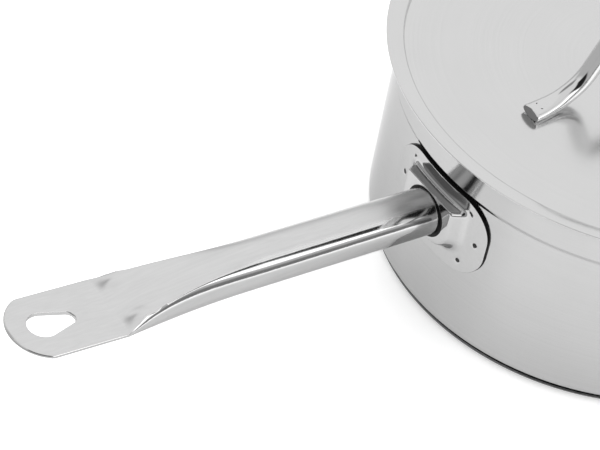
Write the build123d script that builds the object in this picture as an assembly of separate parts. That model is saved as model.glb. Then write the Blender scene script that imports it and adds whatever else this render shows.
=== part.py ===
from build123d import *
import os
from math import asin, atan, cos, degrees, pi, radians, sin, sqrt, tan

# A single-handled saucepan with a loose recessed lid, all in stainless steel.
# Origin: centre of the underside of the base. +Z is up, and the long handle points along -X.
# The whole object is symmetric about the XZ plane. Lengths are millimetres, angles degrees.

# ---------------------------------------------------------------- pan
pan_inner_diameter = 240.0
pan_wall = 1.0
pan_corner_radius = 3.5        # outside radius where the wall turns into the floor
rim_height = 108.4             # underside of the lid flange where it leaves the neck
neck_depth = 19.8              # the wall steps out this far below the rim, as a neck for the lid
neck_step = 0.8
neck_step_height = 1.2
lip_reach = 5.4                # how far the lip spreads beyond the neck
lip_bend_radius = 1.5

# ---------------------------------------------------------------- sandwich base
cap_sheet = 0.7
cap_corner_radius = 3.0
cap_inset = 3.0                # the cap is this much smaller in radius than the pan
spreader_thickness = 3.8

# ---------------------------------------------------------------- lid
lid_sheet = 0.8
lid_neck_clearance = 0.5       # sideways play of the recess in the neck
lid_seat_clearance = 0.25      # between the flange and the lip
lid_flange_width = 8.4
lid_flange_angle = 13.0        # the flange rises outwards
lid_recess_depth = 3.6
lid_bend_radius = 0.9
lid_lower_bend_radius = 1.4

# ---------------------------------------------------------------- handle bracket
bracket_width = 66.5
bracket_height = 44.4
bracket_corner_radius = 18.0
bracket_sheet = 1.5
bracket_neck_clearance = 0.2   # from the top of the bracket up to the step of the neck

boss_rise = 7.2                # from the pan wall to the flat front of the boss
boss_side_margin = 5.0         # of the front, on each side of the hole for the tube
boss_top_margin = 0.9          # above the hole
boss_bottom_margin = 1.3       # below the hole
boss_foot_depth = 2.0          # the boss is drawn out from this far inside the pan wall
boss_foot_spread = 4.2         # the foot is this much wider on each side than the front
boss_roof_drop = 1.2           # the roof falls this much from the front to the foot
boss_sole_drop = 3.4           # and the underside this much
boss_upper_corner_radius = 2.5
boss_lower_corner_radius = 11.0
boss_edge_radius = 0.6

weld_diameter = 3.0
weld_dimple = 0.5
# Spot welds of the bracket: distance to each side of the handle, height over the bracket's middle.
bracket_weld_rows = [(21.0, 15.4), (27.2, 0.2), (20.4, -15.0)]

# ---------------------------------------------------------------- tubular handle
tube_diameter = 22.5
tube_wall = 1.0
tube_offset = 1.7              # tube axis at the pan wall, above the middle of the bracket
tube_slope = 6.5
tube_round_length = 104.0      # round up to here, measured along the axis from the wall
press_length = 74.0            # from the round tube to the flat end
press_closed_length = 12.0     # the two walls have closed up this far before the flat end
press_edge_angle = 50.0        # of the four edges on the round tube, from its sides
press_section_count = 8
# How late the pressing sets in for each line of the section: 1 is evenly, more is later.
top_lateness = 1.8
top_side_lateness = 2.1
top_edge_lateness = 3.2
side_lateness = 2.7
bottom_lateness = 2.8
bottom_edge_lateness = 4.1
flat_length = 47.4
flat_drop = 0.2                # middle of the flat end below the tube axis, at its start
flat_tilt = 1.75               # the flat end rises this much more than the tube
flat_crown = 0.05
flat_end_bulge = 1.57          # radius of the tip beyond half the width of the flat end
flat_corner_radius = 3.5
bead_gap = 0.5                 # ring between the tube and the hole in the boss
bead_length = 2.0
bead_recess = 0.5

hang_hole_large_radius = 6.9
hang_hole_small_radius = 3.6
hang_hole_pitch = 11.6         # between the centres of the two ends
hang_hole_end_margin = 15.8    # from the tip of the handle to the centre of the large end

# ---------------------------------------------------------------- lid handle
grip_bar_diameter = 8.9
grip_span = 151.4              # over both ends
grip_foot_length = 10.7        # from the end to the start of the lower bend
grip_lower_bend_radius = 24.0
grip_leg_angle = 62.0
grip_upper_bend_radius = 18.0
grip_rise = 38.0               # of the bar's centre line above the foot
grip_end_width = 11.2
grip_end_thickness = 5.6
grip_end_length = 1.5          # fully flattened from the end up to here
grip_end_transition = 8.5      # from there to the round bar
grip_seat_depth = 0.3          # flat ground on the underside of the bar
grip_weld_diameter = 1.6
grip_weld_pitch = 3.4
grip_weld_inset = 4.7          # from the end of the bar
grip_weld_dimple = 0.3

# ---------------------------------------------------------------- derived sizes
overlap = 2.0                  # how far cutting bodies run past what they cut

pan_radius = pan_inner_diameter / 2 + pan_wall
neck_height = rim_height - neck_depth
floor_height = cap_sheet + spreader_thickness
neck_inner_radius = pan_inner_diameter / 2 + neck_step
cap_radius = pan_radius - cap_inset
flange_slope = tan(radians(lid_flange_angle))

recess_outer_radius = neck_inner_radius - lid_neck_clearance
flange_outer_radius = recess_outer_radius + lid_flange_width
flange_underside_edge = rim_height + lid_flange_width * flange_slope
panel_top = rim_height + lid_sheet / cos(radians(lid_flange_angle)) - lid_recess_depth
panel_underside = panel_top - lid_sheet

bracket_middle = neck_height - bracket_neck_clearance - bracket_height / 2
tube_height = bracket_middle + tube_offset
tube_radius = tube_diameter / 2
flat_start = tube_round_length + press_length
flat_thickness = 2 * tube_wall
flat_angle = radians(tube_slope + flat_tilt)

boss_hole_radius = tube_radius + bead_gap
boss_hole_half_height = boss_hole_radius / cos(radians(tube_slope))
boss_front_radius = pan_radius + boss_rise
boss_front_half_width = boss_hole_radius + boss_side_margin
boss_front_middle = tube_height + boss_rise * tan(radians(tube_slope))
boss_front_top = boss_front_middle + boss_hole_half_height + boss_top_margin
boss_front_bottom = boss_front_middle - boss_hole_half_height - boss_bottom_margin

grip_bar_radius = grip_bar_diameter / 2
grip_round_end = grip_span / 2 - grip_end_length - grip_end_transition
grip_axis_height = panel_top + grip_bar_radius - grip_seat_depth
grip_end_axis_height = panel_top + grip_end_thickness / 2 - grip_seat_depth


def revolved(face):
    """Turn a section drawn in the XZ plane into a body of revolution about Z."""
    return revolve(Plane.XZ * face, axis=Axis.Z)


def sheet_section(points, radii, thickness):
    """Section of a bent sheet: the line through the points, thickened to its left."""
    line = FilletPolyline(*points, radius=radii)
    return make_face(offset(line, amount=thickness, side=Side.LEFT).edges())


def pan_cylinder(radius, height=3 * rim_height):
    """Upright cylinder about the pan's axis, standing below the base."""
    return Pos(0, 0, -rim_height) * Cylinder(radius, height, align=(Align.CENTER, Align.CENTER, Align.MIN))


# ---------------------------------------------------------------- pan and its base
def make_pan():
    outer = pan_radius
    neck_outer = neck_inner_radius + pan_wall
    lip_outer = neck_outer + lip_reach
    lip_base = rim_height - lid_seat_clearance - pan_wall / cos(radians(lid_flange_angle))
    lip_start = lip_base + (neck_outer - recess_outer_radius) * flange_slope
    lip_end = lip_base + (lip_outer - recess_outer_radius) * flange_slope
    outside = [
        (0, floor_height),
        (outer, floor_height),
        (outer, neck_height),
        (neck_outer, neck_height + neck_step_height),
        (neck_outer, lip_start),
        (lip_outer, lip_end),
    ]
    bends = [pan_corner_radius, pan_wall, pan_wall * 2, lip_bend_radius]
    return revolved(sheet_section(outside, bends, pan_wall))


def make_heat_spreader():
    radius = cap_radius - cap_sheet
    disc = Pos(0, 0, cap_sheet) * Cylinder(
        radius, spreader_thickness, align=(Align.CENTER, Align.CENTER, Align.MIN)
    )
    lower_edge = disc.edges().sort_by(Axis.Z)[0]
    return fillet(lower_edge, cap_corner_radius - cap_sheet)


def make_base_cap():
    outside = [(0, 0), (cap_radius, 0), (cap_radius, floor_height)]
    return revolved(sheet_section(outside, [cap_corner_radius], cap_sheet))


# ---------------------------------------------------------------- handle on the pan
def handle_axis_plane(distance):
    """Plane square to the handle tube, this far along its axis from the pan wall."""
    slope = radians(tube_slope)
    direction = Vector(-cos(slope), 0, sin(slope))
    start = Vector(-pan_radius, 0, tube_height)
    return Plane(origin=start + direction * distance, x_dir=(0, -1, 0), z_dir=direction)


def tube_rod(radius, start, end):
    """Solid rod along the handle tube's axis."""
    rod = Cylinder(radius, end - start, align=(Align.CENTER, Align.CENTER, Align.MIN))
    return handle_axis_plane(start) * rod


def side_plane(distance):
    """Upright plane square to X on the handle side, this far from the pan's axis."""
    return Plane(origin=(-distance, 0, 0), x_dir=(0, -1, 0), z_dir=(-1, 0, 0))


def boss_outline(distance, half_width, top, bottom, shrink):
    """Outline of the boss, reduced all round: flat on top, deeply rounded below."""
    height = top - bottom - 2 * shrink
    outline = Pos(0, (top + bottom) / 2) * Rectangle(2 * (half_width - shrink), height)
    corners = outline.vertices().sort_by(Axis.Y)
    outline = fillet(corners[:2], boss_lower_corner_radius - shrink / 2)
    corners = outline.vertices().sort_by(Axis.Y)
    outline = fillet(corners[-2:], boss_upper_corner_radius)
    return side_plane(distance) * outline


def make_boss_body(shrink):
    """Tapered boss from inside the pan wall to the front, reduced by the sheet for its inside."""
    foot = boss_outline(
        pan_radius - boss_foot_depth,
        boss_front_half_width + boss_foot_spread,
        boss_front_top - boss_roof_drop,
        boss_front_bottom - boss_sole_drop,
        shrink,
    )
    front = boss_outline(
        boss_front_radius - shrink, boss_front_half_width, boss_front_top, boss_front_bottom, shrink
    )
    body = loft([foot, front])
    if shrink == 0:
        front_edges = body.faces().sort_by(Axis.X)[0].edges()
        body = fillet(front_edges, boss_edge_radius)
    return body


def bracket_weld_places():
    """Angle round the pan, from the handle, and height of every spot weld."""
    places = []
    for side, rise in bracket_weld_rows:
        angle = degrees(asin(side / pan_radius))
        height = bracket_middle + rise
        places += [(-angle, height), (angle, height)]
    return places


def bracket_weld_rod(angle, height, inner_radius, outer_radius):
    """Rod square to the pan wall between two radii."""
    rod = Cylinder(
        weld_diameter / 2, outer_radius - inner_radius, align=(Align.CENTER, Align.CENTER, Align.MIN)
    )
    return Rot(0, 0, 180 + angle) * Pos(inner_radius, 0, height) * Rot(0, 90, 0) * rod


def make_bracket():
    outline = RectangleRounded(bracket_width, bracket_height, bracket_corner_radius)
    blank = extrude(side_plane(0) * Pos(0, bracket_middle) * outline, 2 * pan_radius)
    plate = blank & (pan_cylinder(pan_radius + bracket_sheet) - pan_cylinder(pan_radius))
    body = plate + (make_boss_body(0) - pan_cylinder(pan_radius))
    body -= make_boss_body(bracket_sheet)
    body -= tube_rod(boss_hole_radius, -tube_radius, 2 * boss_rise)
    for angle, height in bracket_weld_places():
        body -= bracket_weld_rod(angle, height, pan_radius - overlap, pan_radius + 2 * bracket_sheet)
    return body


def make_bracket_welds():
    top = pan_radius + bracket_sheet - weld_dimple
    welds = [
        bracket_weld_rod(angle, height, pan_radius - overlap, top) - pan_cylinder(pan_radius)
        for angle, height in bracket_weld_places()
    ]
    return Compound(children=welds)


def make_bead():
    """Weld ring between the tube and the edge of the hole in the boss."""
    front = boss_rise / cos(radians(tube_slope)) - bead_recess
    ring = tube_rod(boss_hole_radius, front - bead_length, front)
    return ring - tube_rod(tube_radius, -overlap, 2 * boss_rise)


def lens_half_width(rise, depth, perimeter):
    """Half width at which two arcs, of this rise and this depth, have the perimeter."""

    def arc_length(half_chord, height):
        arc_radius = (half_chord**2 + height**2) / (2 * height)
        return 4 * arc_radius * atan(height / half_chord)

    low = max(rise, depth)
    high = perimeter
    for _ in range(60):
        middle = (low + high) / 2
        if arc_length(middle, rise) + arc_length(middle, depth) < perimeter:
            low = middle
        else:
            high = middle
    return low


def flat_half_width():
    """Half the width of the tube when it is pressed flat, with its perimeter kept."""
    half_thickness = flat_thickness / 2 + flat_crown
    return lens_half_width(half_thickness, half_thickness, 2 * pi * tube_radius)


def blend(start, end, share, lateness):
    """Value between two ends at this share of the pressing."""
    return start + (end - start) * share**lateness


def tube_section(distance, inset=0.0):
    """Closed section of the handle: a top, a bottom and two sides, each one arc."""
    share = max(0.0, (distance - tube_round_length) / press_length)
    edge = radians(press_edge_angle)
    radius = tube_radius - inset
    middle = -flat_drop
    half_thickness = flat_thickness / 2
    flat_edge = flat_half_width() - half_thickness
    top = blend(radius, middle + half_thickness + flat_crown, share, top_lateness)
    top_edge_y = blend(radius * cos(edge), flat_edge, share, top_side_lateness)
    top_edge_z = blend(radius * sin(edge), middle + half_thickness, share, top_edge_lateness)
    side_y = blend(radius, flat_half_width(), share, side_lateness)
    side_z = share * middle
    bottom_edge_y = blend(radius * cos(edge), flat_edge, share, side_lateness)
    bottom_edge_z = blend(-radius * sin(edge), middle - half_thickness, share, bottom_edge_lateness)
    bottom = blend(-radius, middle - half_thickness - flat_crown, share, bottom_lateness)
    outline = [
        ThreePointArc((-top_edge_y, top_edge_z), (0, top), (top_edge_y, top_edge_z)),
        ThreePointArc((top_edge_y, top_edge_z), (side_y, side_z), (bottom_edge_y, bottom_edge_z)),
        ThreePointArc((bottom_edge_y, bottom_edge_z), (0, bottom), (-bottom_edge_y, bottom_edge_z)),
        ThreePointArc((-bottom_edge_y, bottom_edge_z), (-side_y, side_z), (-top_edge_y, top_edge_z)),
    ]
    return handle_axis_plane(distance) * make_face(outline)


def pressed_sections(end, inset):
    """Sections from the end of the round tube to this distance."""
    step = (end - tube_round_length) / press_section_count
    places = [tube_round_length + index * step for index in range(press_section_count + 1)]
    return [tube_section(place, inset) for place in places]


def flat_outline(half_width):
    """Outline of the flat end from the shoulder to the tip, in the plane of the flat."""
    end_radius = half_width + flat_end_bulge
    arc_centre = flat_length - end_radius
    corner = flat_corner_radius
    corner_start = arc_centre + sqrt((end_radius - corner) ** 2 - (half_width - corner) ** 2)
    body = Pos(arc_centre, 0) * Circle(end_radius)
    body &= Rectangle(4 * flat_length, 2 * half_width)
    body += Pos(arc_centre / 2 - overlap, 0) * Rectangle(arc_centre + 2 * overlap, 2 * half_width)
    corners = body.vertices().sort_by(Axis.X)[-2:]
    body = fillet(corners, corner)
    root = Rectangle(corner_start + 2 * overlap, 2 * half_width + overlap, align=(Align.MIN, Align.CENTER))
    return body + Pos(-2 * overlap, 0) * root


def hang_hole_outline():
    """Teardrop with its large end towards the tip."""
    centre = flat_length - hang_hole_end_margin
    large = Pos(centre, 0) * Circle(hang_hole_large_radius)
    small = Pos(centre - hang_hole_pitch, 0) * Circle(hang_hole_small_radius)
    return make_hull(large.edges() + small.edges())


def make_handle():
    tube = tube_rod(tube_radius, -tube_radius, tube_round_length)
    hollow = tube_rod(tube_radius - tube_wall, -tube_radius - overlap, tube_round_length)
    pressed = pressed_sections(flat_start, 0)
    direction = Vector(-cos(flat_angle), 0, sin(flat_angle))
    flat = extrude(pressed[-1], flat_length + overlap, dir=direction)
    flat_plane = Plane(
        origin=handle_axis_plane(flat_start).from_local_coords((0, -flat_drop, 0)),
        x_dir=direction,
        z_dir=(sin(flat_angle), 0, cos(flat_angle)),
    )
    flat &= extrude(flat_plane * flat_outline(flat_half_width()), flat_thickness, both=True)
    flat -= extrude(flat_plane * hang_hole_outline(), flat_thickness, both=True)
    body = tube + loft(pressed) + flat
    hollow_end = flat_start - press_closed_length
    body -= hollow + loft(pressed_sections(hollow_end, tube_wall))
    return body - pan_cylinder(pan_radius)


# ---------------------------------------------------------------- lid
def make_lid():
    underside = [
        (0, panel_underside),
        (recess_outer_radius, panel_underside),
        (recess_outer_radius, rim_height),
        (flange_outer_radius, flange_underside_edge),
    ]
    return revolved(sheet_section(underside, [lid_lower_bend_radius, lid_bend_radius], lid_sheet))


def grip_centre_line():
    """Bow of the lid handle between its two feet."""
    leg = radians(grip_leg_angle)
    foot = grip_round_end
    leg_foot = grip_span / 2 - grip_foot_length - grip_lower_bend_radius * tan(leg / 2)
    leg_top = leg_foot - grip_rise / tan(leg)
    low = grip_axis_height
    high = grip_axis_height + grip_rise
    bends = [
        grip_lower_bend_radius,
        grip_upper_bend_radius,
        grip_upper_bend_radius,
        grip_lower_bend_radius,
    ]
    points = [(-foot, low), (-leg_foot, low), (-leg_top, high), (leg_top, high), (leg_foot, low), (foot, low)]
    bow = Plane.XZ * FilletPolyline(*points, radius=bends)
    return Wire(bow.edges())


def grip_foot_plane(distance, height):
    """Upright plane square to X on the -X foot, this far from the lid's axis."""
    return Plane(origin=(-distance, 0, height), x_dir=(0, -1, 0), z_dir=(-1, 0, 0))


def make_grip_foot():
    """The -X end of the bar, pressed from round to a flat oval."""
    flat = grip_span / 2 - grip_end_length
    oval = Ellipse(grip_end_width / 2, grip_end_thickness / 2)
    round_section = grip_foot_plane(grip_round_end, grip_axis_height) * Circle(grip_bar_radius)
    flat_section = grip_foot_plane(flat, grip_end_axis_height) * oval
    return loft([round_section, flat_section]) + extrude(flat_section, grip_end_length)


def grip_weld_places():
    """Centres of the spot welds, two side by side in each foot."""
    distance = grip_span / 2 - grip_weld_inset
    side = grip_weld_pitch / 2
    return [(x, y) for x in (-distance, distance) for y in (-side, side)]


def grip_weld_rod(place, height):
    """Upright rod that stands on the lid panel."""
    rod = Cylinder(grip_weld_diameter / 2, height, align=(Align.CENTER, Align.CENTER, Align.MIN))
    return Pos(place[0], place[1], panel_top) * rod


def make_grip():
    start = grip_foot_plane(grip_round_end, grip_axis_height)
    bow = sweep(start * Circle(grip_bar_radius), path=grip_centre_line())
    foot = make_grip_foot()
    body = bow + foot + mirror(foot, about=Plane.YZ)
    below = Box(2 * grip_span, 2 * grip_span, rim_height, align=(Align.CENTER, Align.CENTER, Align.MAX))
    body -= Pos(0, 0, panel_top) * below
    for place in grip_weld_places():
        body -= grip_weld_rod(place, 2 * grip_end_thickness)
    return body


def make_grip_welds():
    pressed_share = 1 - (grip_weld_inset - grip_end_length) / grip_end_transition
    thickness = grip_bar_diameter + (grip_end_thickness - grip_bar_diameter) * pressed_share
    width = grip_bar_diameter + (grip_end_width - grip_bar_diameter) * pressed_share
    crown_share = sqrt(1 - (grip_weld_pitch / width) ** 2)
    height = thickness * (1 + crown_share) / 2 - grip_seat_depth - grip_weld_dimple
    return Compound(children=[grip_weld_rod(place, height) for place in grip_weld_places()])


# ---------------------------------------------------------------- pieces, one file each
pieces = {
    "pan_body": make_pan(),
    "base_heat_spreader": make_heat_spreader(),
    "base_cap": make_base_cap(),
    "handle_bracket": make_bracket(),
    "bracket_spot_welds": make_bracket_welds(),
    "handle_tube": make_handle(),
    "handle_weld_bead": make_bead(),
    "lid_panel": make_lid(),
    "lid_grip": make_grip(),
    "lid_grip_spot_welds": make_grip_welds(),
}

os.makedirs("parts", exist_ok=True)
for name, piece in pieces.items():
    export_step(piece, f"parts/{name}.step")
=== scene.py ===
from math import acos, atan, atan2, cos, hypot, pi, radians, sin, sqrt, tan

import bmesh
import bpy
from mathutils import Matrix, Vector


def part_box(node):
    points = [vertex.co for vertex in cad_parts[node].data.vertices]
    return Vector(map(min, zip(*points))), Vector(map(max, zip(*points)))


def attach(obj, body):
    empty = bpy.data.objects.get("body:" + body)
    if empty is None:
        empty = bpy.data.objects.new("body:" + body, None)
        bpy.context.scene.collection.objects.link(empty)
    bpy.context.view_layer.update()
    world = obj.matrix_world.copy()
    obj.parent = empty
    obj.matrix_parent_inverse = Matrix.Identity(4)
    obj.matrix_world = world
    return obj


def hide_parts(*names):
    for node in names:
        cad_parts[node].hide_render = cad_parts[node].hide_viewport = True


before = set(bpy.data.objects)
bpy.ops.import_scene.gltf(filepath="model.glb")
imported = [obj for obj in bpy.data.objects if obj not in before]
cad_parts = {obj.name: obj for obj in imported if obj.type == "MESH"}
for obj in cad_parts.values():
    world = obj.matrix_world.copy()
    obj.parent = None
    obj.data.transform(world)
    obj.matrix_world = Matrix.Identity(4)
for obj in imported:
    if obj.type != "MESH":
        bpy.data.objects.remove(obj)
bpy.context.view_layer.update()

# A saucepan with a recessed lid, in stainless steel, looked at from above its long handle.
# Lengths are millimetres until a mesh is made, in the same frame as the model: the long handle
# points along -X, +Z is up, and the origin is the centre of the underside of the base.
MM = 0.001

# ---------------------------------------------------------------- sizes of the model
pan_radius = 121.0
pan_wall = 1.0
pan_corner_radius = 3.5
rim_height = 108.4
neck_height = 88.6
neck_step = 0.8
neck_step_height = 2.4
neck_bend_radius = 1.2
lip_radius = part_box("pan_body")[1].x / MM
lip_bend_radius = 1.5

cap_sheet = 0.7
cap_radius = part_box("base_cap")[1].x / MM
cap_corner_radius = 1.6
cap_band = 2.0                 # bright lower part of the cap, below the seam to the pan
cap_seam_depth = 1.0
cap_seam_rise = 0.4
cap_seam_bend_radius = 0.3
floor_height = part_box("base_cap")[1].z / MM

lid_sheet = 0.8
lid_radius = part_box("lid_panel")[1].x / MM
recess_radius = 120.3
flange_slope = tan(radians(13.0))
lid_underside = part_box("lid_panel")[0].z / MM
panel_top = lid_underside + lid_sheet
lid_bend_radius = 0.9
lid_lower_bend_radius = 1.4
lid_seat_clearance = 0.25

bracket_middle = 66.2
bracket_width = 66.5
bracket_height = 44.4
bracket_corner_radius = 18.0
bracket_sheet = 1.5
boss_rise = 7.2
boss_side_margin = 5.0
boss_top_margin = 0.9
boss_bottom_margin = 1.3
boss_foot_depth = 2.0
boss_foot_spread = 4.2
boss_roof_drop = 1.2
boss_sole_drop = 3.4
boss_upper_corner_radius = 2.5
boss_lower_corner_radius = 11.0
bracket_welds = [(21.0, 15.4), (27.2, 0.2), (20.4, -15.0)]
weld_radius = 1.5
weld_dimple = 0.5
weld_dimple_spread = 1.25      # of the radius of the weld
weld_dot_share = 0.8           # of the radius of the weld
weld_dot_depth = 0.2           # dark middle of the weld, below the face of the plate

tube_radius = 11.25
tube_wall = 1.0
tube_height = 67.9
tube_slope = radians(6.5)
tube_round_length = 104.0
press_length = 74.0
press_edge_angle = radians(50.0)
top_lateness = 1.8
top_side_lateness = 2.1
top_edge_lateness = 3.2
side_lateness = 2.7
bottom_lateness = 2.8
bottom_edge_lateness = 4.1
flat_length = 47.4
flat_drop = 0.2
flat_angle = radians(8.25)
flat_end_bulge = 1.57
flat_corner_radius = 3.5
flat_crown = 0.05
flat_chamfer = 0.35
tube_root = 2.0                # start, inside the outer face of the wall; past pan_wall it shows in the pan
# Two folds on top, one at each side, where the tube has just been pressed flat.
fold_length = 8.5
fold_rise = 1.6
fold_place = 0.62              # from the middle, as a share of half the width
fold_half_width = 0.33
bead_gap = 0.5                 # round the tube, at the top of the opening of the boss
hole_opening = 0.085           # the opening is wider by this share at its sides and below
eye_large_radius = 6.9
eye_small_radius = 3.6
eye_pitch = 11.6
eye_end_margin = 15.8

grip_half_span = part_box("lid_grip")[1].x / MM
grip_bar_diameter = 8.9
grip_foot_length = 10.7
grip_lower_bend_radius = 24.0
grip_leg_angle = radians(62.0)
grip_upper_bend_radius = 18.0
grip_rise = 38.0
grip_end_width = 11.2
grip_end_thickness = 5.6
grip_taper_length = 24.0
grip_seat_depth = 0.3
grip_weld_radius = 0.8
grip_weld_pitch = 3.4
grip_weld_inset = 4.7
grip_weld_dimple = 0.3
grip_weld_dimple_spread = 1.4
grip_weld_dot_share = 0.8
grip_end_chamfer = 0.35
grip_end_edge = 0.12           # ring round the cut end, as a share of its size


# ---------------------------------------------------------------- mesh tools
class Skin:
    """Points and faces of one mesh, gathered as rings of points that are bridged to each other."""

    def __init__(self):
        self.points = []
        self.faces = []
        self.second = set()

    def ring(self, points):
        first = len(self.points)
        self.points += [Vector(point) for point in points]
        return list(range(first, len(self.points)))

    def bridge(self, one, other, closed=True):
        for i in range(len(one) if closed else len(one) - 1):
            j = (i + 1) % len(one)
            self.faces.append((one[i], one[j], other[j], other[i]))

    def fan(self, ring, centre):
        middle = self.ring([centre])[0]
        for i in range(len(ring)):
            self.faces.append((ring[i], ring[(i + 1) % len(ring)], middle))

    def build(self, name, materials, sharp=radians(38)):
        mesh = bpy.data.meshes.new(name)
        mesh.from_pydata([point * MM for point in self.points], [], self.faces)
        for material in materials:
            mesh.materials.append(material)
        for index in self.second:
            mesh.polygons[index].material_index = 1
        work = bmesh.new()
        work.from_mesh(mesh)
        bmesh.ops.remove_doubles(work, verts=work.verts, dist=2e-7)
        bmesh.ops.dissolve_degenerate(work, edges=work.edges, dist=1e-7)
        bmesh.ops.recalc_face_normals(work, faces=work.faces)
        work.to_mesh(mesh)
        work.free()
        mesh.shade_smooth()
        mesh.set_sharp_from_angle(angle=sharp)
        piece = bpy.data.objects.new(name, mesh)
        bpy.context.scene.collection.objects.link(piece)
        return piece


def place(piece, body, slot, *nodes):
    """Put a finished piece on its body, in place of CAD nodes."""
    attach(piece, body)
    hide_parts(*nodes)


def rounded_path(points, radii, steps=7, support=0.3, longest=6.0):
    """Polyline with arcs at its inner corners, and no long bare stretches."""
    points = [Vector(point) for point in points]
    line = [points[0]]
    for before, corner, after, radius in zip(points, points[1:], points[2:], radii):
        back = (before - corner).normalized()
        ahead = (after - corner).normalized()
        half = acos(max(-1.0, min(1.0, back.dot(ahead)))) / 2
        tangent = radius / tan(half)
        centre = corner + (back + ahead).normalized() * radius / sin(half)
        start = corner + back * tangent - centre
        end = corner + ahead * tangent - centre
        line.append(centre + start + back * support)
        turn = atan2(start.x * end.y - start.y * end.x, start.dot(end))
        for step in range(steps + 1):
            spin = Matrix.Rotation(turn * step / steps, 2)
            line.append(centre + spin @ start)
        line.append(centre + end + ahead * support)
    line.append(points[-1])
    filled = [line[0]]
    for point in line[1:]:
        last = filled[-1]
        count = max(1, int((point - last).length / longest))
        filled += [last.lerp(point, step / count) for step in range(1, count + 1)]
    return filled


def normals_of(line):
    """Left-hand normals of a polyline in the plane."""
    normals = []
    for index in range(len(line)):
        ahead = line[min(index + 1, len(line) - 1)] - line[max(index - 1, 0)]
        normals.append(Vector((-ahead.y, ahead.x)).normalized())
    return normals


def sheet_profile(points, radii, thickness, edge_steps=6):
    """Closed section of a sheet from the axis out to a rounded free edge and back."""
    outside = rounded_path(points, radii)
    normals = normals_of(outside)
    inside = [point + normal * thickness for point, normal in zip(outside, normals)]
    normal = normals[-1]
    ahead = Vector((normal.y, -normal.x))
    middle = (outside[-1] + inside[-1]) / 2 - ahead * thickness / 2
    edge = []
    for step in range(1, edge_steps):
        angle = pi * step / edge_steps
        edge.append(middle + (ahead * sin(angle) - normal * cos(angle)) * thickness / 2)
    outside[-1] = middle - normal * thickness / 2
    inside[-1] = middle + normal * thickness / 2
    return outside + edge + inside[::-1]


def lathe(name, profile, materials, segments=288):
    """Body of revolution about Z, from a section that starts and ends on the axis."""
    skin = Skin()
    rings = []
    for point in profile[1:-1]:
        radius = point.x
        turns = [2 * pi * index / segments for index in range(segments)]
        rings.append(skin.ring([(radius * cos(turn), radius * sin(turn), point.y) for turn in turns]))
    for one, other in zip(rings, rings[1:]):
        skin.bridge(one, other)
    skin.fan(rings[0], (0, 0, profile[0].y))
    skin.fan(rings[-1], (0, 0, profile[-1].y))
    return skin.build(name, materials)


# ---------------------------------------------------------------- node tools
class Nodes:
    """Short hand for wiring a node tree."""

    def __init__(self, tree):
        self.tree = tree
        tree.nodes.clear()

    def add(self, kind, **settings):
        node = self.tree.nodes.new(kind)
        for key, value in settings.items():
            setattr(node, key, value)
        return node

    def wire(self, value, socket):
        if isinstance(value, bpy.types.NodeSocket):
            self.tree.links.new(value, socket)
        else:
            socket.default_value = value

    def math(self, operation, *values):
        node = self.add("ShaderNodeMath", operation=operation)
        for value, socket in zip(values, node.inputs):
            self.wire(value, socket)
        return node.outputs[0]

    def vector(self, operation, first, second):
        node = self.add("ShaderNodeVectorMath", operation=operation)
        self.wire(first, node.inputs[0])
        self.wire(second, node.inputs[1])
        return node.outputs["Value" if operation in ("DOT_PRODUCT", "LENGTH") else "Vector"]

    def ease(self, value, low, high, to_low=0.0, to_high=1.0):
        """Smooth step between two values."""
        node = self.add("ShaderNodeMapRange", interpolation_type="SMOOTHSTEP")
        for entry, socket in zip((value, low, high, to_low, to_high), node.inputs):
            self.wire(entry, socket)
        return node.outputs[0]

    def blend(self, share, first, second):
        node = self.add("ShaderNodeMix", data_type="FLOAT")
        self.wire(share, node.inputs[0])
        self.wire(first, node.inputs[2])
        self.wire(second, node.inputs[3])
        return node.outputs[0]

    def noise(self, vector, scale, detail=3.0, roughness=0.55):
        node = self.add("ShaderNodeTexNoise")
        self.wire(vector, node.inputs["Vector"])
        self.wire(scale, node.inputs["Scale"])
        self.wire(detail, node.inputs["Detail"])
        self.wire(roughness, node.inputs["Roughness"])
        return node.outputs["Fac"]

    def grey(self, value):
        node = self.add("ShaderNodeCombineColor")
        for socket in node.inputs:
            self.wire(value, socket)
        return node.outputs[0]


def stretched(nodes, scales):
    """Object coordinates, scaled by axis, so that a pattern runs along the small ones."""
    place_node = nodes.add("ShaderNodeTexCoord").outputs["Object"]
    return nodes.vector("MULTIPLY", place_node, scales)


def turned(nodes, radial, upward):
    """Coordinates that only change with the distance from the axis and with height."""
    place_node = nodes.add("ShaderNodeTexCoord").outputs["Object"]
    flat = nodes.vector("MULTIPLY", place_node, (1, 1, 0))
    radius = nodes.math("MULTIPLY", nodes.vector("LENGTH", flat, (0, 0, 0)), radial)
    height = nodes.add("ShaderNodeSeparateXYZ")
    nodes.wire(place_node, height.inputs[0])
    node = nodes.add("ShaderNodeCombineXYZ")
    nodes.wire(radius, node.inputs[0])
    nodes.wire(nodes.math("MULTIPLY", height.outputs[2], upward), node.inputs[2])
    return node.outputs[0]


# Painted shade: polished steel's colour is darkened by this share where its normal turns down.
painted_underside_shade = 0.55
painted_shade_turn = (0.28, 0.40)  # heights of the normal between which it sets in
bump_height = 0.0002


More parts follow.
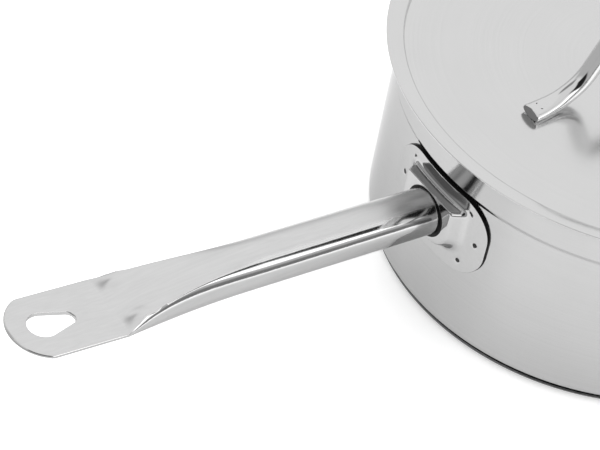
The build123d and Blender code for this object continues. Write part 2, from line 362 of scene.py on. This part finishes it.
def steel(name, level, roughness, lay, fine=0.04, relief=0.02, spread=0.25, polished=None, rim=1.0):
    """Stainless steel with fine tool marks along its lay, and slightly uneven gloss.

    polished is (roughness, low, high): where the surface turns down past the two heights of its
    normal, it goes over from satin to this roughness, and its underside is painted darker as painted
    shade. rim is how bright the steel is where it is seen edge on."""
    material = bpy.data.materials.new(name)
    material.use_nodes = True
    nodes = Nodes(material.node_tree)
    marks = nodes.noise(lay(nodes), 1.0, 4.0, 0.6)
    clouds = nodes.noise(stretched(nodes, (1, 1, 1)), 38.0, 3.0)
    streak = nodes.math("MULTIPLY_ADD", marks, 2 * fine, level - fine)
    colour = nodes.math("MULTIPLY_ADD", clouds, fine, nodes.math("SUBTRACT", streak, fine / 2))
    gloss = nodes.math("MULTIPLY_ADD", clouds, roughness * spread, roughness * (1 - spread / 2))
    if polished:
        smooth, low, high = polished
        normal = nodes.add("ShaderNodeSeparateXYZ")
        nodes.wire(nodes.add("ShaderNodeNewGeometry").outputs["Normal"], normal.inputs[0])
        gloss = nodes.blend(nodes.ease(normal.outputs[2], low, high), smooth, gloss)
        # painted shade: darker colour on the underside, standing in for the shade under the part
        underside = nodes.math("MULTIPLY", colour, painted_underside_shade)
        colour = nodes.blend(nodes.ease(normal.outputs[2], *painted_shade_turn), underside, colour)
    bump = nodes.add("ShaderNodeBump")
    nodes.wire(relief, bump.inputs["Strength"])
    nodes.wire(bump_height, bump.inputs["Distance"])
    nodes.wire(marks, bump.inputs["Height"])
    shader = nodes.add("ShaderNodeBsdfPrincipled")
    shader.inputs["Metallic"].default_value = 1.0
    shader.inputs["Specular Tint"].default_value = (rim, rim, rim, 1)
    nodes.wire(nodes.grey(colour), shader.inputs["Base Color"])
    nodes.wire(gloss, shader.inputs["Roughness"])
    nodes.wire(bump.outputs[0], shader.inputs["Normal"])
    output = nodes.add("ShaderNodeOutputMaterial")
    nodes.wire(shader.outputs[0], output.inputs[0])
    return material


def lay_round(nodes):
    return turned(nodes, 1900.0, 1900.0)


def lay_wall(nodes):
    return turned(nodes, 60.0, 1500.0)


def lay_along(nodes):
    return stretched(nodes, (22, 850, 850))


def lay_even(nodes):
    return stretched(nodes, (700, 700, 700))


wall_steel = steel("wall_steel", 0.445, 0.12, lay_wall, fine=0.03, relief=0.02, rim=0.74)
cap_steel = steel("cap_steel", 0.34, 0.25, lay_wall)
core_aluminium = steel("core_aluminium", 0.75, 0.45, lay_even)
lid_steel = steel("lid_steel", 0.72, 0.17, lay_round, fine=0.03, relief=0.02)
# the polished setting also paints shade on the underside of the handle
handle_polish = (0.08, 0.76, 0.86)
handle_steel = steel("handle_steel", 0.72, 0.30, lay_along, 0.06, 0.04, polished=handle_polish, rim=0.7)
bracket_steel = steel("bracket_steel", 0.47, 0.09, lay_even, fine=0.02, relief=0.01, rim=0.6)
# Nearly black steel, painted shade and painted dark reflection: on the bracket plate's rounded edge and in
# the groove of the base cap.
painted_shade_steel = steel("painted_shade_steel", 0.012, 0.40, lay_even, fine=0.005)
grip_steel = steel("grip_steel", 0.72, 0.05, lay_even, fine=0.02, relief=0.01)
cut_steel = steel("cut_steel", 0.40, 0.42, lay_even, fine=0.05)
weld_steel = steel("weld_steel", 0.03, 0.40, lay_even, fine=0.03)
# Nearly black steel for the weld ring round the tube, painted shade of the gap in the boss opening.
weld_and_gap_shade_steel = steel("weld_and_gap_shade_steel", 0.012, 0.5, lay_even, fine=0.005)


# ---------------------------------------------------------------- pan, base and lid
def make_pan():
    neck_radius = pan_radius + neck_step
    lip_base = rim_height - lid_seat_clearance - pan_wall / cos(atan(flange_slope))
    start = lip_base + (neck_radius - recess_radius) * flange_slope
    end = lip_base + (lip_radius - recess_radius) * flange_slope
    outside = [
        (0, floor_height),
        (pan_radius, floor_height),
        (pan_radius, neck_height),
        (neck_radius, neck_height + neck_step_height),
        (neck_radius, start),
        (lip_radius, end),
    ]
    bends = [pan_corner_radius, neck_bend_radius, neck_bend_radius, lip_bend_radius]
    shell = lathe("pan_shell", sheet_profile(outside, bends, pan_wall), [wall_steel])
    place(shell, "pan", "pan_steel", "pan_body")


def make_cap():
    """Cup under the base, with a groove between its bright band and the pan, painted nearly black as
    painted shade.
    """
    seam = cap_radius - cap_seam_depth
    outside = [
        (0, 0),
        (cap_radius, 0),
        (cap_radius, cap_band),
        (seam, cap_band + cap_seam_rise),
        (seam, floor_height),
    ]
    bends = [cap_corner_radius, cap_seam_bend_radius, cap_seam_bend_radius]
    cap = lathe("base_cap_shell", sheet_profile(outside, bends, cap_sheet), [cap_steel, painted_shade_steel])
    slack = 0.1
    # painted shade: the groove's faces above the bright band take the nearly black steel
    for face in cap.data.polygons:
        middle = face.center / MM
        if middle.z > cap_band + slack and hypot(middle.x, middle.y) > seam - slack:
            face.material_index = 1
    place(cap, "pan", "cap_steel", "base_cap")


def make_lid():
    underside = [
        (0, lid_underside),
        (recess_radius, lid_underside),
        (recess_radius, rim_height),
        (lid_radius, rim_height + (lid_radius - recess_radius) * flange_slope),
    ]
    profile = sheet_profile(underside, [lid_lower_bend_radius, lid_bend_radius], lid_sheet)
    place(lathe("lid_shell", profile, [lid_steel]), "lid", "lid_steel", "lid_panel")


# ---------------------------------------------------------------- long handle
def tube_frame(distance):
    """Middle of the tube and its upward direction, this far along its axis from the wall."""
    middle = Vector((-pan_radius - distance * cos(tube_slope), 0, tube_height + distance * sin(tube_slope)))
    upward = Vector((sin(tube_slope), 0, cos(tube_slope)))
    return middle, upward


def flat_half_width():
    """Half the width of the tube pressed flat, with its perimeter kept."""
    rise = tube_wall + flat_crown
    low, high = rise, 2 * pi * tube_radius
    for _ in range(60):
        half = (low + high) / 2
        radius = (half**2 + rise**2) / (2 * rise)
        if 8 * radius * atan(rise / half) < 2 * pi * tube_radius:
            low = half
        else:
            high = half
    return low


def blend(start, end, share, lateness):
    """Value between two ends at this share of the pressing; a higher lateness sets in later."""
    return start + (end - start) * share**lateness


def arc_through(first, middle, last, count):
    """Points on the arc through three points, from the first up to but not with the last."""
    a, b, c = Vector(first), Vector(middle), Vector(last)
    span = 2 * (a.x * (b.y - c.y) + b.x * (c.y - a.y) + c.x * (a.y - b.y))
    if abs(span) < 1e-6:
        return [a.lerp(c, index / count) for index in range(count)]
    aa, bb, cc = a.length_squared, b.length_squared, c.length_squared
    centre = Vector((
        (aa * (b.y - c.y) + bb * (c.y - a.y) + cc * (a.y - b.y)) / span,
        (aa * (c.x - b.x) + bb * (a.x - c.x) + cc * (b.x - a.x)) / span,
    ))
    one, two = a - centre, c - centre
    turn = atan2(one.x * two.y - one.y * two.x, one.dot(two))
    via = b - centre
    half = atan2(one.x * via.y - one.y * via.x, one.dot(via))
    if turn * half < 0:
        turn += 2 * pi if half > 0 else -2 * pi
    return [centre + Matrix.Rotation(turn * index / count, 2) @ one for index in range(count)]


top_count = 40
side_count = 16
eye_steps = 60
round_ring_count = 40
press_ring_count = 48
press_ring_crowding = 1.3      # above 1, the rings stand closer towards the flat end
flat_layers = (0.12, 0.28, 0.46, 0.64, 0.82, 1.0)


def tube_ring(distance):
    """Section of the handle: its top, near side, underside and far side, each an arc."""
    share = max(0.0, (distance - tube_round_length) / press_length)
    half = flat_half_width()
    flat_edge = half - tube_wall
    middle = -flat_drop
    edge_y = tube_radius * cos(press_edge_angle)
    edge_z = tube_radius * sin(press_edge_angle)
    top = blend(tube_radius, middle + tube_wall + flat_crown, share, top_lateness)
    top_y = blend(edge_y, flat_edge, share, top_side_lateness)
    top_z = blend(edge_z, middle + tube_wall, share, top_edge_lateness)
    side_y = blend(tube_radius, half, share, side_lateness)
    side_z = share * middle
    low_y = blend(edge_y, flat_edge, share, side_lateness)
    low_z = blend(-edge_z, middle - tube_wall, share, bottom_edge_lateness)
    low = blend(-tube_radius, middle - tube_wall - flat_crown, share, bottom_lateness)
    outline = arc_through((top_y, top_z), (0, top), (-top_y, top_z), top_count)
    outline += arc_through((-top_y, top_z), (-side_y, side_z), (-low_y, low_z), side_count)
    outline += arc_through((-low_y, low_z), (0, low), (low_y, low_z), top_count)
    outline += arc_through((low_y, low_z), (side_y, side_z), (top_y, top_z), side_count)
    before = (tube_round_length + press_length - distance) / fold_length
    if 0 < before < 2:
        lift = fold_rise * sin(pi / 2 * before) ** 2
        for point in outline[:top_count]:
            near = max(0.0, 1 - abs(abs(point.x) / half - fold_place) / fold_half_width)
            point.y += lift * near**2 * (3 - 2 * near)
    centre, upward = tube_frame(distance)
    return [centre + Vector((0, point.x, 0)) + upward * point.y for point in outline]


def flat_point(along, across, height):
    """Point of the flat end from its own lengths: from the shoulder, sideways, and upwards."""
    centre, upward = tube_frame(tube_round_length + press_length)
    origin = centre - upward * flat_drop
    ahead = Vector((-cos(flat_angle), 0, sin(flat_angle)))
    normal = Vector((sin(flat_angle), 0, cos(flat_angle)))
    return origin + ahead * along + Vector((0, across, 0)) + normal * height


def tip_outline(inset):
    """Half outline of the flat end, from the shoulder on the +Y side to the middle of the tip."""
    half = flat_half_width() - inset
    radius = half + flat_end_bulge
    corner = flat_corner_radius
    middle = flat_length - flat_half_width() - flat_end_bulge
    reach = sqrt((radius - corner) ** 2 - (half - corner) ** 2)
    centre = Vector((middle + reach, half - corner))
    turn = atan2(half - corner, reach)
    points = [(middle + reach) * index / 24 for index in range(24)]
    outline = [(Vector((along, half)), Vector((0, 1))) for along in points]
    for index in range(9):
        angle = pi / 2 + (turn - pi / 2) * index / 9
        out = Vector((cos(angle), sin(angle)))
        outline.append((centre + out * corner, out))
    for index in range(25):
        angle = turn * (1 - index / 24)
        out = Vector((cos(angle), sin(angle)))
        outline.append((Vector((middle, 0)) + out * radius, out))
    return outline


def ray_to_eye(target, centre, inset):
    """Point of the hanging eye's outline, widened by inset, in the direction of the target."""
    direction = (target - centre).normalized()
    large = Vector((flat_length - eye_end_margin, 0))
    reach = 0.0
    for step in range(eye_steps + 1):
        share = step / eye_steps
        towards = large - Vector((eye_pitch * share, 0)) - centre
        radius = eye_large_radius + (eye_small_radius - eye_large_radius) * share + inset
        along = towards.dot(direction)
        off = towards.length_squared - along**2
        if off < radius**2:
            reach = max(reach, along + sqrt(radius**2 - off))
    return centre + direction * reach


def make_handle():
    skin = Skin()
    start = tube_round_length
    end = tube_round_length + press_length
    step = (start + tube_root) / round_ring_count
    places = [index * step - tube_root for index in range(round_ring_count)]
    for index in range(press_ring_count):
        left = (1 - index / press_ring_count) ** press_ring_crowding
        places.append(start + press_length * (1 - left))
    rings = [skin.ring(tube_ring(distance)) for distance in places + [end]]
    for one, other in zip(rings, rings[1:]):
        skin.bridge(one, other)
    skin.fan(rings[0], tube_frame(places[0])[0])
    shoulder = [skin.points[index] for index in rings[-1]]

    # The flat end: its outline runs along the far side to the tip and back along the near side.
    inset = tube_wall
    half = tip_outline(inset)
    around = half + [(Vector((p.x, -p.y)), Vector((n.x, -n.y))) for p, n in half[-2::-1]]
    centre = Vector((flat_length - eye_end_margin - eye_pitch / 2, 0))
    faces_of = {}
    for side in (1, -1):
        if side > 0:
            across = shoulder[: top_count + 1]
        else:
            across = shoulder[top_count + side_count : 2 * top_count + side_count + 1][::-1]
        edge = [flat_point(p.x, p.y, side * tube_wall) for p, n in around]
        edge[0], edge[-1] = across[0], across[-1]
        border = edge + list(across[-2:0:-1])
        flat_border = [Vector((p.x, p.y)) for p, n in around]
        flat_border += [Vector((0.0, point.y)) for point in across[-2:0:-1]]
        layers = [skin.ring(border)]
        chamfer = flat_chamfer
        for share in flat_layers:
            ring = []
            for rim, point in zip(border, flat_border):
                eye = ray_to_eye(point, centre, chamfer)
                spot = point.lerp(eye, share)
                height = side * (tube_wall + flat_crown * share)
                level = flat_point(spot.x, spot.y, height)
                ring.append(rim.lerp(level, min(1.0, share * 4)) if share < 0.25 else level)
            layers.append(skin.ring(ring))
        for step in (1, 2, 3):
            angle = pi / 2 * step / 3
            ring = []
            for point in flat_border:
                eye = ray_to_eye(point, centre, chamfer * (1 - sin(angle)))
                height = tube_wall + flat_crown - chamfer * (1 - cos(angle))
                ring.append(flat_point(eye.x, eye.y, side * height))
            layers.append(skin.ring(ring))
        for one, other in zip(layers, layers[1:]):
            skin.bridge(one, other)
        faces_of[side] = layers[-1]
    skin.bridge(faces_of[1], faces_of[-1])

    # Rounded outer edge of the flat end, from its top to its underside.
    strips = []
    for step in range(side_count + 1):
        angle = pi / 2 - pi * step / side_count
        strip = []
        for point, out in around:
            spot = point + out * tube_wall * cos(angle)
            strip.append(flat_point(spot.x, spot.y, tube_wall * sin(angle)))
        strip[-1] = shoulder[top_count + step]
        strip[0] = shoulder[-step] if step else shoulder[0]
        strips.append(skin.ring(strip))
    for one, other in zip(strips, strips[1:]):
        skin.bridge(one, other, closed=False)
    place(skin.build("long_handle", [handle_steel], radians(60)), "pan", "handle_steel", "handle_tube")


# ---------------------------------------------------------------- bracket
hole_radius = tube_radius + bead_gap
boss_front = pan_radius + boss_rise
front_middle = tube_height + boss_rise * tan(tube_slope)
front_top = front_middle + hole_radius / cos(tube_slope) + boss_top_margin
front_bottom = front_middle - hole_radius / cos(tube_slope) - boss_bottom_margin
front_half_width = hole_radius + boss_side_margin
half_edge_count, corner_count, upright_count = 34, 26, 40


def rounded_rectangle(half_width, bottom, top, lower, upper):
    """Points round a rectangle with round corners, from the middle of its lower edge towards +Y."""
    points = []

    def run(first, last, count):
        for index in range(count):
            points.append(Vector(first).lerp(Vector(last), index / count))

    def corner(y, z, radius, start):
        for index in range(corner_count):
            angle = start + pi / 2 * index / corner_count
            points.append(Vector((y + radius * cos(angle), z + radius * sin(angle))))

    run((0, bottom), (half_width - lower, bottom), half_edge_count)
    corner(half_width - lower, bottom + lower, lower, -pi / 2)
    run((half_width, bottom + lower), (half_width, top - upper), upright_count)
    corner(half_width - upper, top - upper, upper, 0)
    run((half_width - upper, top), (upper - half_width, top), 2 * half_edge_count)
    corner(upper - half_width, top - upper, upper, pi / 2)
    run((-half_width, top - upper), (-half_width, bottom + lower), upright_count)
    corner(lower - half_width, bottom + lower, lower, pi)
    run((lower - half_width, bottom), (0, bottom), half_edge_count)
    return points


def on_wall(point, radius):
    """Point over the pan's wall from its sideways place and height."""
    return Vector((-sqrt(radius**2 - point.x**2), point.x, point.y))


def curve_between(first, corner, last, steps):
    """Points on a round turn past a corner, without its two ends."""
    points = []
    for index in range(1, steps):
        share = index / steps
        points.append(first.lerp(corner, share).lerp(corner.lerp(last, share), share))
    return points


def weld_spots(rows, middle):
    return [Vector((sign * side, middle + rise)) for side, rise in rows for sign in (-1, 1)]


def make_bracket():
    skin = Skin()
    low = boss_lower_corner_radius
    high = boss_upper_corner_radius
    front = rounded_rectangle(front_half_width, front_bottom, front_top, low, high)
    foot_half_width = front_half_width + boss_foot_spread
    sole, roof = front_bottom - boss_sole_drop, front_top - boss_roof_drop
    foot = rounded_rectangle(foot_half_width, sole, roof, low, high)
    corner = bracket_corner_radius
    lower_edge = bracket_middle - bracket_height / 2
    plate = rounded_rectangle(bracket_width / 2, lower_edge, lower_edge + bracket_height, corner, corner)
    edge_round = 0.35
    lip_round = 0.3
    front_round = 0.9
    foot_round = 3.0
    round_limit = 0.45             # share of the room beside a corner that its round may take
    plate_radius = pan_radius + bracket_sheet
    wall_gap = 0.02
    back_step = 0.6
    back_margin = 0.45
    plate_steps = 34
    spots = weld_spots(bracket_welds, bracket_middle)

    columns = []
    for index in range(len(front)):
        face, root, rim = front[index], foot[index], plate[index]
        direction = (face - Vector((0, front_middle))).normalized()
        hole = Vector((hole_radius * direction.x, hole_radius * direction.y / cos(tube_slope)))
        opening = abs(direction.x) if direction.y > 0 else 1
        hole *= 1 + hole_opening * opening
        hole += Vector((0, front_middle))
        lead = Vector((0, -tan(tube_slope)))
        top = Vector((-boss_front, face.x, face.y))
        base = Vector((-(pan_radius - boss_foot_depth), root.x, root.y))
        side = base - top
        # Where the side of the boss meets the top of the plate.
        a = side.x**2 + side.y**2
        b = 2 * (top.x * side.x + top.y * side.y)
        c = top.x**2 + top.y**2 - plate_radius**2
        share = (-b - sqrt(b * b - 4 * a * c)) / (2 * a)
        meet = top + side * share
        side_length = side.length * share
        flat_meet = Vector((meet.y, meet.z))
        width = (rim - flat_meet).length
        column = []
        inner = Vector((-boss_front + bracket_sheet, hole.x, hole.y + bracket_sheet * lead.y))
        column.append(inner)
        rim_of_hole = Vector((-boss_front, hole.x, hole.y))
        away = (Vector((0, face.x, face.y)) - Vector((0, hole.x, hole.y)))
        margin = away.length
        away.normalize()
        lip = min(lip_round, margin / 3)
        column.append(rim_of_hole + Vector((lip, 0, lip * lead.y)))
        column += curve_between(column[-1], rim_of_hole, rim_of_hole + away * lip, 4)
        column.append(rim_of_hole + away * lip)
        bend = min(front_round, margin - 2 * lip)
        column.append(rim_of_hole.lerp(top, (lip + (margin - bend)) / 2 / margin))
        column.append(top - away * bend)
        down = side.normalized()
        column += curve_between(top - away * bend, top, top + down * bend, 8)
        column.append(top + down * bend)
        fillet = min(foot_round, side_length * round_limit, width * round_limit)
        for step in (0.35, 0.7):
            column.append((top + down * bend).lerp(meet - down * fillet, step))
        column.append(meet - down * fillet)
        outward = (rim - flat_meet).normalized()
        landing = flat_meet + outward * fillet
        column += curve_between(meet - down * fillet, meet, on_wall(landing, plate_radius), 8)
        stop = rim - outward * edge_round
        for step in range(plate_steps + 1):
            spot = landing.lerp(stop, step / plate_steps)
            depth = 0.0
            for weld in spots:
                distance = (spot - weld).length / (weld_radius * weld_dimple_spread)
                if distance < 1:
                    depth = weld_dimple * (1 - distance**2) ** 1.5
            column.append(on_wall(spot, plate_radius - depth))
        shoulder = on_wall(rim, plate_radius)
        drop = on_wall(rim, plate_radius - edge_round)
        column += curve_between(column[-1], shoulder, drop, 7)
        column.append(drop)
        column.append(on_wall(rim, pan_radius + wall_gap))
        # Back of the sheet, against the wall and under the boss.
        column.append(on_wall(flat_meet - outward * back_step, pan_radius + wall_gap))
        back = face - away.yz * min(back_margin, margin / 2)
        column.append(Vector((-boss_front + bracket_sheet, back.x, back.y)))
        columns.append(column)
    rings = [skin.ring([column[level] for column in columns]) for level in range(len(columns[0]))]
    for one, other in zip(rings, rings[1:]):
        skin.bridge(one, other)
    skin.bridge(rings[-1], rings[0])
    # The plate's rounded edge and its thickness take the nearly black steel: painted shade and painted dark
    # reflection.
    count = len(columns)
    first_shaded_edge = len(rings) - 8
    skin.second = set(range(first_shaded_edge * count, (first_shaded_edge + 5) * count))
    piece = skin.build("handle_plate", [bracket_steel, painted_shade_steel], radians(50))
    place(piece, "pan", "bracket_steel", "handle_bracket")


def dish(skin, centre, outward, radius, rise, depth):
    """Small dished button of weld metal, square to a direction."""
    side = outward.orthogonal().normalized()
    other = outward.cross(side)
    rings = []
    shape = [(1.0, -depth), (1.0, rise * 0.2), (0.8, rise), (0.45, rise * 0.55), (0.2, rise * 0.3)]
    for share, height in shape:
        ring = []
        for index in range(32):
            turn = 2 * pi * index / 32
            wide = (side * cos(turn) + other * sin(turn)) * radius * share
            ring.append(centre + wide + outward * height)
        rings.append(skin.ring(ring))
    for one, next_ring in zip(rings, rings[1:]):
        skin.bridge(one, next_ring)
    skin.fan(rings[-1], centre + outward * rise * 0.25)
    skin.fan(rings[0], centre - outward * depth)


def make_bracket_welds():
    skin = Skin()
    for spot in weld_spots(bracket_welds, bracket_middle):
        base = on_wall(spot, pan_radius + bracket_sheet - weld_dot_depth)
        outward = Vector((base.x, base.y, 0)).normalized()
        dish(skin, base, outward, weld_radius * weld_dot_share, 0.1, 0.4)
    place(skin.build("bracket_weld_dots", [weld_steel]), "pan", "weld_steel", "bracket_spot_welds")


def make_weld_and_gap_shade_ring():
    """Weld sunk in the gap between the tube and the opening of the boss; its nearly black colour is painted
    shade of the gap.
    """
    narrow, wider = 0.4, 1.2       # reach past the tube at the top, and what the sides add to it
    inner, outer = -0.3, narrow + wider
    face, deep = 0.35, 1.2         # below the front of the boss
    count = 64
    skin = Skin()
    rings = []
    for reach, depth in ((inner, deep), (inner, 0.5), (narrow, face), (outer, face), (outer, deep)):
        ring = []
        for index in range(count):
            turn = 2 * pi * index / count
            opening = abs(cos(turn)) if sin(turn) > 0 else 1
            radius = tube_radius + min(reach, narrow + wider * opening)
            up = front_middle + radius * sin(turn) / cos(tube_slope) - depth * tan(tube_slope)
            ring.append((depth - boss_front, radius * cos(turn), up))
        rings.append(skin.ring(ring))
    for one, other in zip(rings, rings[1:]):
        skin.bridge(one, other)
    skin.bridge(rings[-1], rings[0])
    place(skin.build("handle_weld_and_gap_shade_ring", [weld_and_gap_shade_steel]), "pan", "weld_steel", "handle_weld_bead")


# ---------------------------------------------------------------- lid handle
def grip_path():
    """Centre line of the bar in the XZ plane, as places along it."""
    lean = grip_leg_angle
    leg_foot = grip_half_span - grip_foot_length - grip_lower_bend_radius * tan(lean / 2)
    leg_top = leg_foot - grip_rise / tan(lean)
    low = panel_top + grip_bar_diameter / 2 - grip_seat_depth
    high = low + grip_rise
    points = [(-grip_half_span, low), (-leg_foot, low), (-leg_top, high)]
    points += [(leg_top, high), (leg_foot, low), (grip_half_span, low)]
    low_bend, high_bend = grip_lower_bend_radius, grip_upper_bend_radius
    bends = [low_bend, high_bend, high_bend, low_bend]
    return rounded_path(points, bends, steps=24, support=0.6, longest=0.6)


def grip_section(near):
    """Width and thickness of the bar, this far from its nearer end."""
    share = min(1.0, near / grip_taper_length)
    share = share * share * (3 - 2 * share)
    width = grip_end_width + (grip_bar_diameter - grip_end_width) * share
    thickness = grip_end_thickness + (grip_bar_diameter - grip_end_thickness) * share
    return width, thickness


def make_grip():
    skin = Skin()
    line = grip_path()
    lengths = [0.0]
    for one, other in zip(line, line[1:]):
        lengths.append(lengths[-1] + (other - one).length)
    total = lengths[-1]
    weld_x, weld_y = grip_half_span - grip_weld_inset, grip_weld_pitch / 2
    welds = [(sign * weld_x, way * weld_y) for sign in (-1, 1) for way in (-1, 1)]
    rings = []
    chamfer = grip_end_chamfer
    count = 72
    clearance = 0.04
    for centre, normal, along in zip(line, normals_of(line), lengths):
        near = min(along, total - along)
        width, thickness = grip_section(near)
        sink = (grip_bar_diameter - thickness) / 2
        trim = chamfer * (1 - sqrt(1 - (1 - near / chamfer) ** 2)) if near < chamfer else 0.0
        ring = []
        for index in range(count):
            turn = 2 * pi * index / count
            side = (width / 2 - trim) * cos(turn)
            height = (thickness / 2 - trim) * sin(turn) - sink
            point = Vector((centre.x + normal.x * height, side, centre.y + normal.y * height))
            if sin(turn) > 0:
                for x, y in welds:
                    distance = hypot(point.x - x, point.y - y)
                    distance /= grip_weld_radius * grip_weld_dimple_spread
                    if distance < 1:
                        point.z -= grip_weld_dimple * (1 - distance**2) ** 1.5
            point.z = max(point.z, panel_top + clearance)
            ring.append(point)
        rings.append(skin.ring(ring))
    for one, other in zip(rings, rings[1:]):
        skin.bridge(one, other)
    for ring in (rings[0], rings[-1]):
        start = len(skin.faces)
        middle = sum((skin.points[index] for index in ring), Vector()) / len(ring)
        inner = skin.ring([skin.points[index].lerp(middle, grip_end_edge) for index in ring])
        skin.bridge(ring, inner)
        skin.fan(inner, middle)
        skin.second.update(range(start, len(skin.faces)))
    piece = skin.build("lid_handle", [grip_steel, cut_steel], radians(50))
    place(piece, "lid", "grip_steel", "lid_grip")
    return welds


def make_grip_welds(welds):
    skin = Skin()
    width, thickness = grip_section(grip_weld_inset)
    rise = thickness * (1 + sqrt(1 - (grip_weld_pitch / width) ** 2)) / 2
    for x, y in welds:
        base = Vector((x, y, panel_top - grip_seat_depth + rise - grip_weld_dimple))
        dish(skin, base, Vector((0, 0, 1)), grip_weld_radius * grip_weld_dot_share, 0.08, 0.4)
    place(skin.build("lid_handle_weld_dots", [weld_steel]), "lid", "weld_steel", "lid_grip_spot_welds")


make_pan()
make_cap()
make_lid()
make_handle()
make_bracket()
make_bracket_welds()
make_grip_welds(make_grip())
make_weld_and_gap_shade_ring()
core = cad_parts["base_heat_spreader"].data
core.materials.clear()
core.materials.append(core_aluminium)


# ---------------------------------------------------------------- floor, light and camera
def make_floor():
    half, radius = 460.0, 200.0
    height = -0.3
    outline = rounded_rectangle(half, -half, half, radius, radius)
    skin = Skin()
    outer = skin.ring([(point.x, point.y, height) for point in outline])
    rings = [outer]
    for share in (0.5, 0.15):
        rings.append(skin.ring([(point.x * share, point.y * share, height) for point in outline]))
    for one, other in zip(rings, rings[1:]):
        skin.bridge(one, other)
    skin.fan(rings[-1], (0, 0, height))
    material = bpy.data.materials.new("paper")
    material.use_nodes = True
    nodes = Nodes(material.node_tree)
    grain = nodes.noise(stretched(nodes, (1, 1, 1)), 60.0)
    shader = nodes.add("ShaderNodeBsdfPrincipled")
    nodes.wire(nodes.grey(nodes.math("MULTIPLY_ADD", grain, 0.01, 0.92)), shader.inputs["Base Color"])
    shader.inputs["Roughness"].default_value = 0.9
    shader.inputs["Specular IOR Level"].default_value = 0.1
    shader.inputs["Emission Color"].default_value = (1, 1, 1, 1)
    shader.inputs["Emission Strength"].default_value = 0.42
    output = nodes.add("ShaderNodeOutputMaterial")
    nodes.wire(shader.outputs[0], output.inputs[0])
    skin.build("floor", [material])


# Parts of the studio seen in the steel: compass direction and half width, lowest and highest
# elevation, softness, all in degrees, then brightness.
studio_level = 0.86
studio = [
    (0, 180, -90, 34, 8, 0.55),
    (48, 70, 8, 90, 10, 0.92),
    (-60, 44, -90, 4, 3, 0.22),
    (-60, 44, 35.5, 48.0, 1.5, 1.05),
    (-60, 44, 50.8, 53.0, 1.0, 0.30),
    (-66, 30, 12.0, 32.5, 2.0, 1.9),
    (-131, 30, 14, 48, 5, 0.02),
    (-35, 15, 19.0, 31.0, 1.5, 0.02),
    (124, 22, 38, 60, 5, 0.30),
]


def make_world():
    world = bpy.data.worlds.new("studio")
    bpy.context.scene.world = world
    world.use_nodes = True
    nodes = Nodes(world.node_tree)
    direction = nodes.add("ShaderNodeTexCoord").outputs["Generated"]
    parts = nodes.add("ShaderNodeSeparateXYZ")
    nodes.wire(direction, parts.inputs[0])
    x, y, z = parts.outputs
    elevation = nodes.math("DEGREES", nodes.math("ARCSINE", z))
    across = nodes.math("ADD", nodes.math("MULTIPLY", x, x), nodes.math("MULTIPLY", y, y))
    flat = nodes.math("SQRT", across)
    level = studio_level
    for compass, half, low, high, soft, brightness in studio:
        share = nodes.ease(elevation, low - soft, low + soft)
        share = nodes.math("MULTIPLY", share, nodes.ease(elevation, high - soft, high + soft, 1.0, 0.0))
        if half < 180:
            towards = nodes.math("MULTIPLY", x, cos(radians(compass)))
            towards = nodes.math("MULTIPLY_ADD", y, sin(radians(compass)), towards)
            nearness = nodes.math("DIVIDE", towards, nodes.math("MAXIMUM", flat, 0.0001))
            edge = nodes.ease(nearness, cos(radians(half + soft)), cos(radians(max(0, half - soft))))
            share = nodes.math("MULTIPLY", share, edge)
        level = nodes.blend(share, level, brightness)
    light = nodes.add("ShaderNodeBackground")
    nodes.wire(nodes.grey(level), light.inputs["Color"])
    plain = nodes.add("ShaderNodeBackground")
    plain.inputs["Color"].default_value = (1, 1, 1, 1)
    mix = nodes.add("ShaderNodeMixShader")
    nodes.wire(nodes.add("ShaderNodeLightPath").outputs["Is Camera Ray"], mix.inputs[0])
    nodes.wire(light.outputs[0], mix.inputs[1])
    nodes.wire(plain.outputs[0], mix.inputs[2])
    output = nodes.add("ShaderNodeOutputWorld")
    nodes.wire(mix.outputs[0], output.inputs[0])


def make_lamp():
    """Large soft light overhead, which the steel doesn't mirror."""
    light = bpy.data.lights.new("overhead", "AREA")
    light.shape = "DISK"
    light.size = 2.4
    light.energy = 22
    lamp = bpy.data.objects.new("overhead", light)
    lamp.location = (0, 0, 2.0)
    lamp.visible_glossy = False
    bpy.context.scene.collection.objects.link(lamp)


def make_camera():
    place_of_camera = Vector((-0.6479, -0.5049, 0.7579))
    back = Vector((-0.4714, -0.5333, 0.7024)).normalized()
    right = Vector((0.8214, -0.5554, 0.1296))
    right = (right - back * right.dot(back)).normalized()
    upward = back.cross(right)
    camera = bpy.data.cameras.new("camera")
    camera.lens = 130.65
    camera.sensor_width = 36.0
    holder = bpy.data.objects.new("camera", camera)
    turn = Matrix((right, upward, back)).transposed().to_4x4()
    holder.matrix_world = Matrix.Translation(place_of_camera) @ turn
    bpy.context.scene.collection.objects.link(holder)
    bpy.context.scene.camera = holder


make_floor()
make_world()
make_lamp()
make_camera()
bpy.context.scene.view_settings.view_transform = "Standard"
